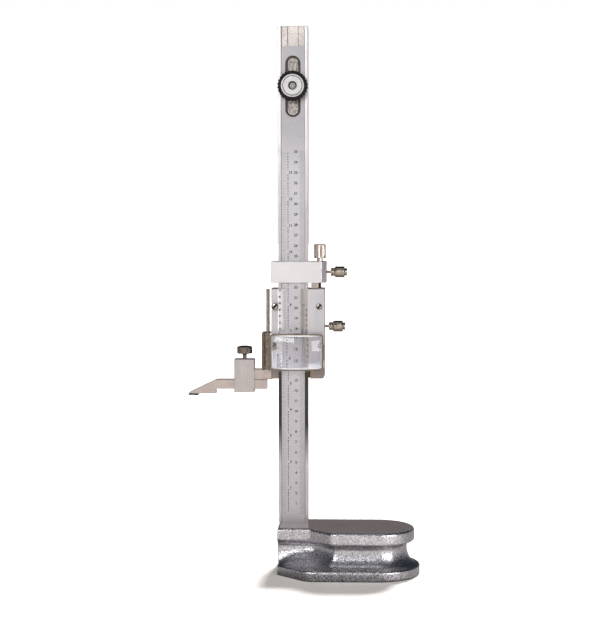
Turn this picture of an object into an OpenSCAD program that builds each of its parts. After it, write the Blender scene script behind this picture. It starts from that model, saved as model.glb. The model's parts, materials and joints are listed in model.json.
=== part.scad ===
// Vernier height gauge: a cast base, an upright column with a sliding main scale, a fine-adjust
// carrier, a slider with two verniers and a magnifier, and a scriber clamped under the slider's jaw.
// Millimetres, +Z up, +X to the right and -Y towards the reader. The origin is on the sole, under
// the centre of the column.

/* [Base casting] */
// Height of the base, from the sole to the top
base_h = 45; // [40:1:60]
// Length of the top slab, from the column's left side to the rounded end
slab_l = 131; // [115:1:180]
// From the column's front face back to the slab's back edge
slab_back = 19; // [17:1:28]
// From the column's front face to the front of the boss
boss_front = 29; // [24:1:36]
// From the column's front face to the front of the main slab
slab_front = 51; // [46:1:70]
// Length of the boss, from the left end to its bend
boss_l = 27.5; // [24:0.5:36]
// Inner and outer radius of the bend between boss and slab
bend_r = 8; // [4:0.5:12]
slab_bend_r = 12; // [9:0.5:18]
// Thickness of the slab at its rim
slab_t = 12.4; // [9:0.2:16]
// Thickness of the flange at its rim
flange_t = 10; // [7:0.5:13]
// How far the flange stands out below the slab
flange_out = 5.3; // [3:0.1:8]
// Length of the flange's slanted front corner
taper_l = 29; // [20:1:34]
// Depth of the finger groove behind the slab's rim
groove_depth = 7.2; // [4:0.2:8]
// Rounding of the slab's top edge
top_edge_r = 2.4; // [1:0.2:3.4]
// Rounding of the flange and of the slab's lower edge
rim_edge = 1.2; // [0.6:0.1:1.6]
// Depth of the relief under the sole
sole_relief = 3; // [1:0.5:5]

/* [Column] */
// Width of the column
column_w = 28.5; // [26:0.5:34]
// Depth of the column, front to back
column_d = 14; // [12:0.5:16]
// Height of the column above the base
column_rise = 478; // [460:2:560]
// Width of each rail beside the scale's channel
rail_w = 3; // [2.4:0.1:4]
// Depth of the scale's channel
channel_depth = 2.2; // [1.8:0.1:3]
// Width of the relief groove in the channel's floor
relief_w = 10.1; // [6:0.1:14]
// Depth of the relief groove
relief_depth = 0.8; // [0.4:0.1:1.2]
// Width, depth and height of the tenon in the base
tenon_w = 24; // [20:0.5:25]
tenon_d = 7.5; // [7:0.5:8.5]
tenon_h = 14; // [10:1:18]
// From the column's centre back to the tenon's centre
tenon_back = 1.8; // [1.4:0.1:2.4]
// Radius of the screws that hold the column
column_screw_r = 2.5; // [2:0.5:3]
// Distance between the two column screws
column_screw_pitch = 16; // [14:0.5:18]

/* [Main scale] */
// Thickness of the scale
scale_t = 2; // [1.6:0.1:2.4]
// From the column's top down to the scale's top
scale_drop = 19; // [18.5:0.5:24]
// Length of scale that stands in the base's pocket
scale_in_base = 6; // [2:0.5:8]
// How far the scale can be set up or down
scale_travel = 18; // [10:0.5:18]
// Height of the zero line above the base
zero_rise = 8.8; // [6:0.2:12]
// Width and length of the clamp slot, over its step
slot_w = 14.6; // [13:0.2:16]
slot_l = 58.3; // [56:0.1:64]
// Width of the slot's step
slot_lip = 1.9; // [1.2:0.1:2.4]
// Depth of the slot's step
slot_step = 1; // [0.6:0.1:1.2]

/* [Scale clamp] */
// From the column's top down to the knob's centre
knob_drop = 57.2; // [54:0.2:64]
// Diameter of the knob
knob_d = 29; // [24:0.5:34]
// Thickness of the knob
knob_t = 8.6; // [7:0.2:12]
// Scallops around the knob
scallops = 26; // [18:1:32]
// Radius of each scallop
scallop_r = 1.5; // [1:0.1:1.6]
// Diameter of the bright cap
cap_d = 21.7; // [19:0.1:23]
// Thickness of the cap
cap_t = 2.6; // [2:0.1:3.4]
// Radius of the clamp's stud
stud_r = 2.5; // [2:0.1:3]
// Radius and thickness of the washer in the slot
washer_r = 7; // [6:0.1:7.1]
washer_t = 1.6; // [1.2:0.1:2]

/* [Slider] */
// Reading in millimetres at which the slider is drawn
reading = 154; // [20:1:290]
// Slider's top above its zero line
slider_up = 65; // [60:0.5:72]
// Slider's bottom below its zero line
slider_down = 22.5; // [20:0.5:30]
// Width of the cheek left of the column
left_cheek = 6.6; // [6.4:0.1:10]
// Width of the cheek right of the column
right_cheek = 13.8; // [13:0.2:18]
// Thickness of the wall behind the column
slider_back_t = 6; // [4:0.5:9]
// Rounding of the slider's lower right corner
slider_corner_r = 3; // [1:0.5:5]
// Thickness of the gibs
gib_t = 2; // [1.5:0.1:2.6]
// Thickness of the vernier plates
plate_t = 4; // [3.4:0.1:5]
// Vernier plates' bottom below the zero line
plate_down = 12; // [8:0.5:14]
// How far the vernier plates stay below the slider's top
plate_drop = 0.8; // [0.4:0.1:2]
// Reach of each plate's bevel over the scale
left_bevel_reach = 5.3; // [4:0.1:6]
right_bevel_reach = 6.4; // [4:0.1:7]
// Thickness of the bevels at their edge
bevel_edge = 0.5; // [0.3:0.1:0.9]
// Height of the upper and lower plate screws over the zero line
plate_screw_up = 47.5; // [40:0.5:54]
plate_screw_low = 8.9; // [4:0.1:20]
// Head radius of the left and right plate screws
left_head_r = 3.2; // [2.4:0.1:3.2]
right_head_r = 2.8; // [2.2:0.1:3.2]

/* [Jaw and scriber] */
// Depth of the jaw and of the scriber, front to back
jaw_d = 9; // [8:0.5:11]
// Height of the jaw
jaw_h = 10; // [8:0.5:12]
// How far the jaw stands below the slider
jaw_drop = 1.1; // [0.6:0.1:2]
// Reach of the jaw left of the slider
jaw_reach = 35.5; // [33:0.5:40]
// Length and depth of the shoulder that carries the magnifier's rod
shoulder_l = 7.6; // [7:0.1:9]
shoulder_d = 13; // [11:0.5:14]
// Height of the scriber's shank
shank_h = 9.2; // [7:0.1:11]
// From the column's centre to the shank's right end
shank_start = 25.7; // [18:0.1:30]
// Length of the shank
shank_l = 49.5; // [44:0.5:60]
// Length of the scriber's slanted nose
nose_l = 26.5; // [20:0.5:34]
// Depth of the nose below the shank's top
nose_drop = 14.5; // [12:0.1:18]
// Length and thickness of the hard tip
tip_l = 9.2; // [6:0.1:12]
tip_t = 1.6; // [1.2:0.1:2.2]
// Width and depth of the clamp box
clamp_w = 19.5; // [16:0.5:24]
clamp_d = 14.5; // [13:0.5:18]
// Thickness of the clamp box's top and bottom walls
clamp_top_t = 9.6; // [7:0.1:12]
clamp_floor_t = 2.9; // [2:0.1:4]
// From the column's centre to the clamp box's right side
clamp_start = 37.8; // [36:0.1:44]
// Diameter and height of the clamp screw's head
clamp_head_d = 14.8; // [12:0.2:18]
clamp_head_h = 7.6; // [5:0.2:10]
// Length of bare shank between the box and the head
clamp_neck = 5.2; // [2:0.2:8]
// Radius of the clamp screw's shank
clamp_screw_r = 1.9; // [1.5:0.1:2.4]

/* [Fine adjustment] */
// Height of the carrier
carrier_h = 20.4; // [16:0.2:26]
// Gap between slider and carrier
carrier_gap = 5.3; // [4.4:0.1:7]
// Carrier's overhang past the slider, left and right
carrier_left_out = 0.3; // [0:0.1:2]
carrier_right_out = 1.7; // [0:0.1:3]
// Thickness of the carrier's front wall
carrier_front_t = 5; // [4:0.1:7]
// Chamfer on the carrier's front right edge
carrier_chamfer = 4.4; // [2:0.1:5]
// From the column's centre to the fine screw, rightwards and backwards
fine_x = 25.4; // [24.6:0.1:26]
fine_back = 5.5; // [4.6:0.1:6.5]
// Radius of the fine screw
fine_r = 1.5; // [1.2:0.1:1.8]
// Diameter and height of its knurled head
fine_head_d = 11.5; // [9:0.1:13]
fine_head_h = 13.4; // [10:0.1:16]
// Diameter and height of the neck under the head
fine_neck_d = 5.6; // [4.6:0.1:7]
fine_neck_h = 3; // [2:0.1:5]
// Depth to which the screw reaches into the slider
fine_reach = 22; // [14:0.5:26]
// Fine travel up or down
fine_travel = 3; // [1:0.5:3.5]
// Height of the guide tongue over the slider's top
tongue_h = 8.6; // [7:0.1:9.4]
// Width and depth of the guide tongue
tongue_w = 7; // [4:0.1:7.2]
tongue_d = 7; // [5:0.5:8]

/* [Lock screws] */
// Radius of the lock screws' shank
lock_r = 1.3; // [1:0.1:1.6]
// Bare shank between the block and the collar
lock_neck = 4.2; // [2:0.1:7]
// Diameter and length of the collar
lock_collar_d = 7.8; // [6:0.1:9]
lock_collar_l = 4; // [2:0.1:6]
// Diameter and length of the knurled head
lock_head_d = 11; // [9:0.1:13]
lock_head_l = 9.4; // [7:0.1:12]
// Diameter and length of the end button
lock_end_d = 7.6; // [5:0.1:8.4]
lock_end_l = 2.4; // [1:0.1:4]
// Slider's lock screw above the zero line
slider_lock_up = 28; // [22:0.5:40]

/* [Magnifier] */
// Radius of the guide rod
rod_r = 1.85; // [1.5:0.05:2.2]
// Gap between the slider and the rod
rod_gap = 2; // [1.4:0.1:2.6]
// How far the rod is pressed into the shoulder
rod_seat = 6; // [4:0.5:7]
// Width and height of the frame
frame_w = 51; // [48:0.5:54]
frame_h = 35.2; // [32:0.2:36]
// Depth of the frame, front to back
frame_d = 6; // [5:0.5:8]
// Thickness of the frame's strip
frame_t = 1.3; // [0.9:0.1:2]
// Outer corner radius of the frame
frame_r = 3.4; // [2.4:0.1:5]
// Gap between the vernier plates and the frame
frame_gap = 5; // [3:0.1:7]
// How far the magnifier can rise on its rod
magnifier_travel = 38; // [20:1:38]
// Radius of the lens's front face
lens_r = 58; // [52:1:90]
// Thickness of the lens at its centre
lens_t = 8.6; // [8.4:0.1:11]
// Thickness of the bracket's sheet
sheet_t = 1; // [0.8:0.1:1.4]

/* [Hidden] */
$fn = 96;

// Clearances: sliding flat faces, turning shafts, fixed pieces in their seats, and the overrun of cuts
slide_fit = 0.1;
run_fit = 0.05;
seat_fit = 0.1;
overrun = 1;

// Places on the column
column_front = -column_d / 2;
column_side = column_w / 2;
column_top = base_h + column_rise;
knob_z = column_top - knob_drop;
zero_z = base_h + zero_rise + reading;

// Base outline: left end, back, boss front, slab front, and the centre of the rounded end
base_left = -column_side;
base_back = column_front + slab_back;
boss_y = column_front - boss_front;
slab_y = column_front - slab_front;
slab_end_r = (slab_back + slab_front) / 2;
slab_end = [base_left + slab_l - slab_end_r, base_back - slab_end_r];
bend_a = [base_left + boss_l, boss_y - bend_r];
bend_b = [bend_a.x + boss_y - slab_y + (bend_r + slab_bend_r) * tan(45 / 2), slab_y + slab_bend_r];
taper_corner = [base_left + taper_l, slab_y - flange_out];
taper_soft = flange_out * 1.5;
waist_share = 0.75;
waist_z = flange_t + waist_share * (base_h - flange_t - slab_t);
// The back groove runs out between these shares of the slab's length
run_out_shares = [0.36, 0.24];

// Main scale and its channel
channel_side = column_side - rail_w;
channel_floor = column_front + channel_depth;
scale_side = channel_side - slide_fit;
scale_front = channel_floor - scale_t;
scale_bottom = base_h - scale_in_base;
scale_top = column_top - scale_drop;
pocket_depth = scale_in_base + scale_travel + 2 * overrun;

// Clamp stack, counted forwards from the column's axis
slot_floor = scale_front + slot_step;
washer_back = slot_floor - run_fit;
washer_front = washer_back - washer_t;
knob_back = washer_front - slide_fit;
knob_front = knob_back - knob_t;
stud_back = column_d / 4;
cap_back = knob_front + cap_t;
cap_groove_r = cap_d * 0.425;
cap_groove_w = 0.5;
cap_proud = 0.4;
cap_eye_r = 4.15;
cap_eye_depth = 1.4;
dome_r = 1.8;

// Column screws
screw_head_r = column_screw_r * 1.7;
screw_head_h = column_screw_r * 2;
screw_seat_z = 20;
screw_reach = 26;
screw_clear = 0.3;
counterbore_r = screw_head_r + screw_clear;
hex_share = 0.55;

// Slider and carrier
block_front = column_front - slide_fit;
block_inner_back = -column_front + slide_fit;
block_back = block_inner_back + slider_back_t;
passage_left = -column_side - slide_fit;
passage_right = column_side + slide_fit + gib_t;
slider_left = passage_left - left_cheek;
slider_right = passage_right + right_cheek;
slider_top = zero_z + slider_up;
slider_bottom = zero_z - slider_down;
plate_front = block_front - plate_t;
plate_top = slider_top - plate_drop;
plate_bottom = zero_z - plate_down;
plate_screw_r = 1.2;
plate_screw_l = 6;
plate_head_h = 1.8;
left_screw_x = slider_left + left_head_r + plate_screw_r / 4;
right_screw_x = slider_right - right_head_r * 1.8;
left_pocket_h = 8.4;
slot_cut_w = 0.7;
slot_cut_depth = 0.8;
carrier_bottom = slider_top + carrier_gap;
carrier_top = carrier_bottom + carrier_h;
carrier_left = slider_left - carrier_left_out;
carrier_right = slider_right + carrier_right_out;
carrier_front = block_front - carrier_front_t;
gib_inset = 1;
gib_d = column_d - 2 * gib_inset;
gib_screw_r = 1.5;
gib_screw_l = 5;
gib_screw_margin = 10;

// Guide tongue and fine screw
tongue_x = passage_right + gib_inset;
tongue_front = column_front + gib_inset;
tongue_back = tongue_front + tongue_d;
tongue_fit = 0.3;
ring_r = 3;
ring_t = 1.2;
fine_sink = 0.3;

// Jaw, scriber and clamp
jaw_bottom = slider_bottom - jaw_drop;
jaw_top = jaw_bottom + jaw_h;
shank_top = jaw_bottom - slide_fit;
shank_bottom = shank_top - shank_h;
nose_bottom = shank_top - nose_drop + tip_t / 2;
shank_left = -shank_start - shank_l;
nose_left = shank_left - nose_l;
clamp_left = -clamp_start - clamp_w;
window_top = jaw_top + slide_fit;
window_bottom = shank_bottom - slide_fit;
clamp_top = window_top + clamp_top_t;
clamp_bottom = window_bottom - clamp_floor_t;
clamp_x = clamp_left + clamp_w / 2;
clamp_head_z = clamp_top + clamp_neck;

// Magnifier
rod_x = slider_left - rod_gap - rod_r;
rod_y = column_front / 4;
frame_left = slider_left - plate_drop;
frame_bottom = jaw_top + slide_fit;
frame_back = plate_front - frame_gap;
frame_front = frame_back - frame_d;
lens_fit = 0.1;
lens_back = frame_back - frame_t / 2;
web_front = plate_front + sheet_t;
lug_back = rod_y + rod_r + 2 * sheet_t;
lug_right = slider_left - slide_fit * 3;
bracket_left = rod_x - rod_r - 3 * sheet_t;
bracket_bottom = frame_bottom;
bracket_top = frame_bottom + frame_h + sheet_t;
rod_spare = 3.5;
rod_top = bracket_top + magnifier_travel + rod_spare;
hem_gap = 0.5;
tab_w = 13;
tab_h = 15;

// A block between two opposite corners
module block(low, high) {
    translate(low) cube(high - low);
}

// Turns a shape drawn upwards so that it points at the reader
module facing(x, y, z) {
    translate([x, y, z]) rotate([90, 0, 0]) children();
}

// Turns a shape drawn upwards so that it points to the right
module rightward(x, y, z) {
    translate([x, y, z]) rotate([0, 90, 0]) children();
}

// A rectangle with round corners, drawn from its lower left corner
module round_rectangle(w, h, r) {
    translate([r, 0]) square([w - 2 * r, h]);
    translate([0, r]) square([w, h - 2 * r]);
    for (x = [r, w - r], y = [r, h - r])
        translate([x, y]) circle(r);
}

// A slot with half-round ends, drawn upwards from its lower left corner
module round_slot(w, h) {
    translate([0, w / 2]) square([w, h - w]);
    for (y = [w / 2, h - w / 2]) translate([w / 2, y]) circle(d = w);
}

// Points of an arc in steps, from one angle to another
function arc(centre, r, from, to, steps) = [for (i = [0:steps])
    let (a = from + (to - from) * i / steps) centre + r * [cos(a), sin(a)]];

// A point between two others, and the same for two whole rings of points
function between(a, b, share) = a + (b - a) * share;
function blend(a, b, share) = [for (i = [0:len(a) - 1]) between(a[i], b[i], share)];

// Steps of the base's outline: along the boss, in each bend, round the end and where the groove runs out
boss_steps = 6;
bend_steps = 5;
end_steps = 24;
run_out_steps = 6;
function ease(share) = (1 - cos(180 * share)) / 2;
function run_out_x(i) =
    base_left + slab_l * between(run_out_shares[0], run_out_shares[1], i / run_out_steps);

// Outline of the slab, drawn in by the groove on its free sides and by an edge all round
function slab_ring(groove, edge) = concat(
    [[base_left + edge, base_back - edge], [base_left + edge, boss_y + groove + edge]],
    [for (i = [1:boss_steps - 1])
        [between(base_left + edge, bend_a.x, i / boss_steps), boss_y + groove + edge]],
    arc(bend_a, bend_r + groove + edge, 90, 45, bend_steps),
    arc(bend_b, slab_bend_r - groove - edge, 225, 270, bend_steps),
    arc(slab_end, slab_end_r - groove - edge, -90, 90, end_steps),
    [for (i = [0:run_out_steps])
        [run_out_x(i), base_back - edge - groove * (1 - ease(i / run_out_steps))]]);

// Outline of the flange with as many points, drawn in by an edge
function flange_ring(edge) =
    let (start = [base_left + edge, boss_y + edge], corner = taper_corner + [0, edge],
        soft_in = corner + taper_soft * (start - corner) / norm(start - corner),
        soft_out = corner + [taper_soft, 0], finish = [bend_b.x, corner.y])
    concat(
        [[base_left + edge, base_back + flange_out - edge], start],
        [for (i = [1:boss_steps - 1]) between(start, soft_in, i / boss_steps)],
        [for (i = [0:bend_steps]) let (s = i / bend_steps)
            between(between(soft_in, corner, s), between(corner, soft_out, s), s)],
        [for (i = [0:bend_steps]) between(soft_out, finish, (i + 1) / (bend_steps + 1))],
        arc(slab_end, slab_end_r + flange_out - edge, -90, 90, end_steps),
        [for (i = [0:run_out_steps]) [run_out_x(i), base_back + flange_out - edge]]);

function lift(ring, z) = [for (p = ring) [p.x, p.y, z]];

// Rings of the casting from the sole upwards
cove_steps = 8;
lip_steps = 5;
edge_steps = 4;
base_rings = concat(
    [lift(flange_ring(rim_edge / 2), 0), lift(flange_ring(0), rim_edge / 2),
        lift(flange_ring(0), flange_t - rim_edge), lift(flange_ring(rim_edge), flange_t)],
    [for (i = [1:cove_steps]) let (a = 90 * (1 - i / cove_steps))
        lift(blend(slab_ring(groove_depth, 0), flange_ring(rim_edge), 1 - cos(a)),
            waist_z - (waist_z - flange_t) * sin(a))],
    [for (i = [1:lip_steps]) let (a = 90 * i / lip_steps)
        lift(slab_ring(rim_edge + (groove_depth - rim_edge) * cos(a), 0),
            waist_z + (base_h - slab_t - waist_z) * sin(a))],
    [lift(slab_ring(0, 0), base_h - slab_t + rim_edge)],
    [for (i = [0:edge_steps]) let (a = 90 * i / edge_steps)
        lift(slab_ring(0, top_edge_r * (1 - cos(a))), base_h - top_edge_r * (1 - sin(a)))]);

// A closed skin over rings of equal length, each of which can be seen whole from the middle
module skin(rings, middle) {
    n = len(rings[0]);
    last = len(rings) - 1;
    sides = [for (k = [0:last - 1], i = [0:n - 1]) let (a = k * n + i, b = k * n + (i + 1) % n)
        each [[a, a + n, b + n], [a, b + n, b]]];
    foot = len(rings) * n;
    bottom = [for (i = [0:n - 1]) [foot, i, (i + 1) % n]];
    top = [for (i = [0:n - 1]) [foot + 1, last * n + (i + 1) % n, last * n + i]];
    polyhedron(concat([for (ring = rings) each ring], [[middle.x, middle.y, rings[0][0].z]],
        [[middle.x, middle.y, rings[last][0].z]]), concat(sides, bottom, top));
}

module base_casting() {
    relief_margin = flange_out + slab_bend_r;
    relief_w_base = slab_l - boss_l - 2 * relief_margin;
    relief_h_base = slab_back + slab_front - 2 * relief_margin;
    color("slategray") difference() {
        skin(base_rings, [bend_b.x, slab_end.y]);
        block([-tenon_w / 2 - seat_fit, tenon_back - tenon_d / 2 - seat_fit, base_h - tenon_h - seat_fit],
            [tenon_w / 2 + seat_fit, tenon_back + tenon_d / 2 + seat_fit, base_h + overrun]);
        block([-channel_side, column_front, base_h - pocket_depth],
            [channel_side, channel_floor, base_h + overrun]);
        for (side = [-1, 1]) translate([side * column_screw_pitch / 2, tenon_back, 0]) {
            translate([0, 0, -overrun]) cylinder(r = counterbore_r, h = screw_seat_z + overrun);
            cylinder(r = column_screw_r + screw_clear, h = base_h);
        }
        translate([base_left + boss_l + relief_margin, slab_y + relief_margin, -overrun])
            linear_extrude(sole_relief + overrun) round_rectangle(relief_w_base, relief_h_base, slab_bend_r);
    }
}

module column() {
    color("silver") difference() {
        union() {
            block([-column_side, column_front, base_h], [column_side, -column_front, column_top]);
            block([-tenon_w / 2, tenon_back - tenon_d / 2, base_h - tenon_h],
                [tenon_w / 2, tenon_back + tenon_d / 2, base_h + overrun]);
        }
        block([-channel_side, column_front - overrun, base_h - overrun],
            [channel_side, channel_floor, column_top + overrun]);
        block([-relief_w / 2, channel_floor - overrun, base_h + pocket_depth],
            [relief_w / 2, channel_floor + relief_depth, column_top + overrun]);
        facing(0, stud_back + overrun, knob_z) cylinder(r = stud_r + run_fit, h = column_d);
        for (side = [-1, 1])
            translate([side * column_screw_pitch / 2, tenon_back, screw_seat_z])
                cylinder(r = column_screw_r + run_fit, h = screw_reach + overrun);
    }
}

module column_screws() {
    color("dimgray") for (side = [-1, 1])
        translate([side * column_screw_pitch / 2, tenon_back, screw_seat_z]) difference() {
            union() {
                translate([0, 0, -screw_head_h]) cylinder(r = screw_head_r, h = screw_head_h);
                cylinder(r = column_screw_r, h = screw_reach);
            }
            translate([0, 0, -screw_head_h - overrun])
                cylinder(r = screw_head_r * hex_share, h = screw_head_h / 2 + overrun, $fn = 6);
        }
}

module main_scale() {
    slot_x = slot_w / 2;
    slot_z = slot_l / 2;
    color("gainsboro") difference() {
        block([-scale_side, scale_front, scale_bottom], [scale_side, channel_floor - run_fit, scale_top]);
        facing(-slot_x, slot_floor, knob_z - slot_z)
            linear_extrude(slot_step + overrun) round_slot(slot_w, slot_l);
        facing(-slot_x + slot_lip, channel_floor + overrun, knob_z - slot_z + slot_lip)
            linear_extrude(scale_t + 2 * overrun)
                round_slot(slot_w - 2 * slot_lip, slot_l - 2 * slot_lip);
    }
}

module scale_clamp_knob() {
    color("black") facing(0, knob_back, knob_z) difference() {
        cylinder(d = knob_d, h = knob_t);
        for (i = [0:scallops - 1]) rotate(360 * i / scallops)
            translate([knob_d / 2 + scallop_r / 2, 0, -overrun])
                cylinder(r = scallop_r, h = knob_t + 2 * overrun, $fn = 24);
        translate([0, 0, -overrun]) cylinder(r = stud_r + seat_fit, h = knob_t + 2 * overrun);
        translate([0, 0, knob_t - cap_t]) cylinder(r = cap_d / 2 + seat_fit, h = cap_t + overrun);
    }
}

module scale_clamp_cap() {
    color("white") facing(0, cap_back, knob_z) difference() {
        cylinder(d = cap_d, h = cap_t + cap_proud);
        translate([0, 0, cap_t]) difference() {
            cylinder(r = cap_groove_r + cap_groove_w / 2, h = cap_proud + overrun);
            translate([0, 0, -overrun])
                cylinder(r = cap_groove_r - cap_groove_w / 2, h = cap_proud + 3 * overrun);
        }
        translate([0, 0, cap_t - cap_eye_depth + cap_proud])
            cylinder(r = cap_eye_r, h = cap_eye_depth + overrun);
        translate([0, 0, -overrun]) cylinder(r = stud_r + seat_fit, h = cap_t + 2 * overrun);
    }
}

module scale_clamp_stud() {
    stud_l = stud_back - cap_back + cap_t / 2;
    color("silver") facing(0, stud_back, knob_z) {
        cylinder(r = stud_r, h = stud_l);
        translate([0, 0, stud_l]) cylinder(r = dome_r, h = dome_r / 2);
    }
}

module scale_clamp_washer() {
    color("dimgray") facing(0, washer_back, knob_z) difference() {
        cylinder(r = washer_r, h = washer_t);
        translate([0, 0, -overrun]) cylinder(r = stud_r + run_fit, h = washer_t + 2 * overrun);
    }
}

// The knurled screw that locks a block to the column, drawn from its inner tip to the right
module lock_screw(tip_x, face_x, z) {
    inner = face_x - tip_x;
    color("tan") rightward(tip_x, 0, z) {
        cylinder(r = lock_r, h = inner + lock_neck);
        translate([0, 0, inner + lock_neck]) {
            cylinder(d = lock_collar_d, h = lock_collar_l);
            translate([0, 0, lock_collar_l]) {
                cylinder(d = lock_head_d, h = lock_head_l);
                translate([0, 0, lock_head_l]) cylinder(d = lock_end_d, h = lock_end_l);
            }
        }
    }
}

// A gib that fills the passage right of the column, between two heights
module gib(bottom, top) {
    color("peru") block([passage_right - gib_t, -gib_d / 2, bottom + gib_inset],
        [passage_right, gib_d / 2, top - gib_inset]);
}

// The passage for the column and its gib, from one height to another
module passage(front, bottom, top) {
    block([passage_left, front, bottom - overrun], [passage_right, block_inner_back, top + overrun]);
}

carrier_lock_z = (carrier_bottom + carrier_top) / 2;
slider_lock_z = zero_z + slider_lock_up;
gib_screw_zs = [slider_bottom + gib_screw_margin, slider_top - gib_screw_margin];

module carrier_block() {
    color("whitesmoke") difference() {
        block([carrier_left, carrier_front, carrier_bottom], [carrier_right, block_back, carrier_top]);
        passage(block_front, carrier_bottom, carrier_top);
        translate([carrier_right, carrier_front, carrier_bottom - overrun])
            linear_extrude(carrier_h + 2 * overrun)
                polygon([[-carrier_chamfer, 0], [-carrier_chamfer, -overrun], [overrun, -overrun],
                    [overrun, carrier_chamfer], [0, carrier_chamfer]]);
        translate([fine_x, fine_back, carrier_bottom - overrun]) {
            cylinder(r = fine_r + run_fit, h = carrier_h + 2 * overrun);
            cylinder(r = ring_r + tongue_fit, h = ring_t + fine_sink + overrun);
        }
        block([tongue_x - tongue_fit, tongue_front - tongue_fit, carrier_bottom - overrun],
            [tongue_x + tongue_w + tongue_fit, tongue_back + tongue_fit,
                slider_top + tongue_h + fine_travel + tongue_fit]);
        rightward(passage_right - overrun, 0, carrier_lock_z)
            cylinder(r = lock_r + run_fit, h = carrier_right - passage_right + 2 * overrun);
    }
}

module carrier_gib() { gib(carrier_bottom, carrier_top); }

module carrier_lock_screw() { lock_screw(passage_right + run_fit, carrier_right, carrier_lock_z); }

module fine_screw() {
    color("tan") translate([fine_x, fine_back, 0]) {
        translate([0, 0, slider_top - fine_reach])
            cylinder(r = fine_r, h = carrier_top + run_fit - slider_top + fine_reach);
        translate([0, 0, carrier_top + run_fit]) {
            cylinder(d = fine_neck_d, h = fine_neck_h);
            translate([0, 0, fine_neck_h]) cylinder(d = fine_head_d, h = fine_head_h);
        }
    }
}

module fine_screw_ring() {
    color("dimgray") translate([fine_x, fine_back, carrier_bottom + fine_sink - run_fit]) difference() {
        cylinder(r = ring_r, h = ring_t);
        translate([0, 0, -overrun]) cylinder(r = fine_r, h = ring_t + 2 * overrun);
    }
}

module slider_body() {
    corner_x = slider_right - slider_corner_r;
    corner_z = slider_bottom + slider_corner_r;
    color("dimgray") difference() {
        union() {
            difference() {
                block([slider_left, block_front, slider_bottom], [slider_right, block_back, slider_top]);
                block([corner_x, block_front - overrun, slider_bottom - overrun],
                    [slider_right + overrun, block_back + overrun, corner_z]);
            }
            facing(corner_x, block_back, corner_z)
                cylinder(r = slider_corner_r, h = block_back - block_front);
            block([slider_left - shoulder_l, -shoulder_d / 2, slider_bottom],
                [slider_left, shoulder_d / 2, jaw_top]);
            block([slider_left - jaw_reach, -jaw_d / 2, jaw_bottom], [slider_left, jaw_d / 2, jaw_top]);
        }
        passage(block_front - overrun, jaw_bottom, slider_top);
        translate([fine_x, fine_back, slider_top - fine_reach - fine_travel - overrun])
            cylinder(r = fine_r + run_fit, h = fine_reach + fine_travel + 2 * overrun);
        rightward(passage_right - overrun, 0, slider_lock_z)
            cylinder(r = lock_r + run_fit, h = right_cheek + 2 * overrun);
        for (z = gib_screw_zs) rightward(passage_right - overrun, 0, z)
            cylinder(r = gib_screw_r + run_fit, h = right_cheek + 2 * overrun);
        for (x = [left_screw_x, right_screw_x], z = [plate_screw_up, plate_screw_low])
            facing(x, block_front + plate_screw_l, zero_z + z)
                cylinder(r = plate_screw_r + run_fit, h = plate_screw_l + overrun);
        translate([rod_x, rod_y, jaw_top - rod_seat]) cylinder(r = rod_r, h = rod_seat + overrun);
    }
}

module slider_gib() { gib(slider_bottom, slider_top); }

module gib_set_screws() {
    color("dimgray") for (z = gib_screw_zs) rightward(passage_right, 0, z) difference() {
        cylinder(r = gib_screw_r, h = gib_screw_l);
        translate([0, 0, gib_screw_l / 2]) cylinder(r = gib_screw_r * hex_share, h = gib_screw_l, $fn = 6);
    }
}

module guide_tongue() {
    color("tan") block([tongue_x, tongue_front, slider_top],
        [tongue_x + tongue_w, tongue_back, slider_top + tongue_h]);
}

// A vernier plate with its outer side at one place and its bevel reaching over the scale
module vernier_plate(outer, inner, reach) {
    tip = inner < outer ? inner - reach : inner + reach;
    translate([0, 0, plate_bottom]) linear_extrude(plate_top - plate_bottom)
        polygon([[outer, block_front], [outer, plate_front], [inner, plate_front],
            [tip, block_front - bevel_edge], [tip, block_front]]);
}

module vernier_plate_inch() {
    color("white") difference() {
        vernier_plate(slider_left, passage_left + slide_fit, left_bevel_reach);
        for (z = [plate_screw_up, plate_screw_low]) {
            facing(left_screw_x, block_front + overrun, zero_z + z)
                cylinder(r = plate_screw_r + seat_fit, h = plate_t + 2 * overrun);
            block([slider_left - overrun, plate_front - overrun, zero_z + z - left_pocket_h / 2],
                [left_screw_x + left_head_r + seat_fit, plate_front + plate_t / 2,
                    zero_z + z + left_pocket_h / 2]);
        }
    }
}

module vernier_plate_metric() {
    color("lavender") difference() {
        vernier_plate(slider_right, column_side, right_bevel_reach);
        for (z = [plate_screw_up, plate_screw_low]) {
            facing(right_screw_x, block_front + overrun, zero_z + z)
                cylinder(r = plate_screw_r + seat_fit, h = plate_t + 2 * overrun);
            facing(right_screw_x, plate_front + plate_t / 2, zero_z + z)
                cylinder(r = right_head_r + seat_fit, h = plate_t);
        }
    }
}

// The upper and lower slotted screws of one vernier plate, seated on half the plate's thickness
module plate_screws(x, head_r) {
    color("tan") for (z = [plate_screw_up, plate_screw_low])
        facing(x, plate_front + plate_t / 2, zero_z + z) difference() {
            union() {
                translate([0, 0, -plate_t / 2 - plate_screw_l + overrun])
                    cylinder(r = plate_screw_r, h = plate_t / 2 + plate_screw_l - overrun);
                cylinder(r = head_r, h = plate_head_h);
            }
            rotate(45) translate([-head_r - overrun, -slot_cut_w / 2, plate_head_h - slot_cut_depth])
                cube([2 * head_r + 2 * overrun, slot_cut_w, overrun]);
        }
}

module left_plate_screws() { plate_screws(left_screw_x, left_head_r); }

module right_plate_screws() { plate_screws(right_screw_x, right_head_r); }

module slider_lock_screw() { lock_screw(passage_right + run_fit, slider_right, slider_lock_z); }

module magnifier_rod() {
    color("silver") translate([rod_x, rod_y, jaw_top - rod_seat])
        cylinder(r = rod_r, h = rod_top - jaw_top + rod_seat);
}

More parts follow.
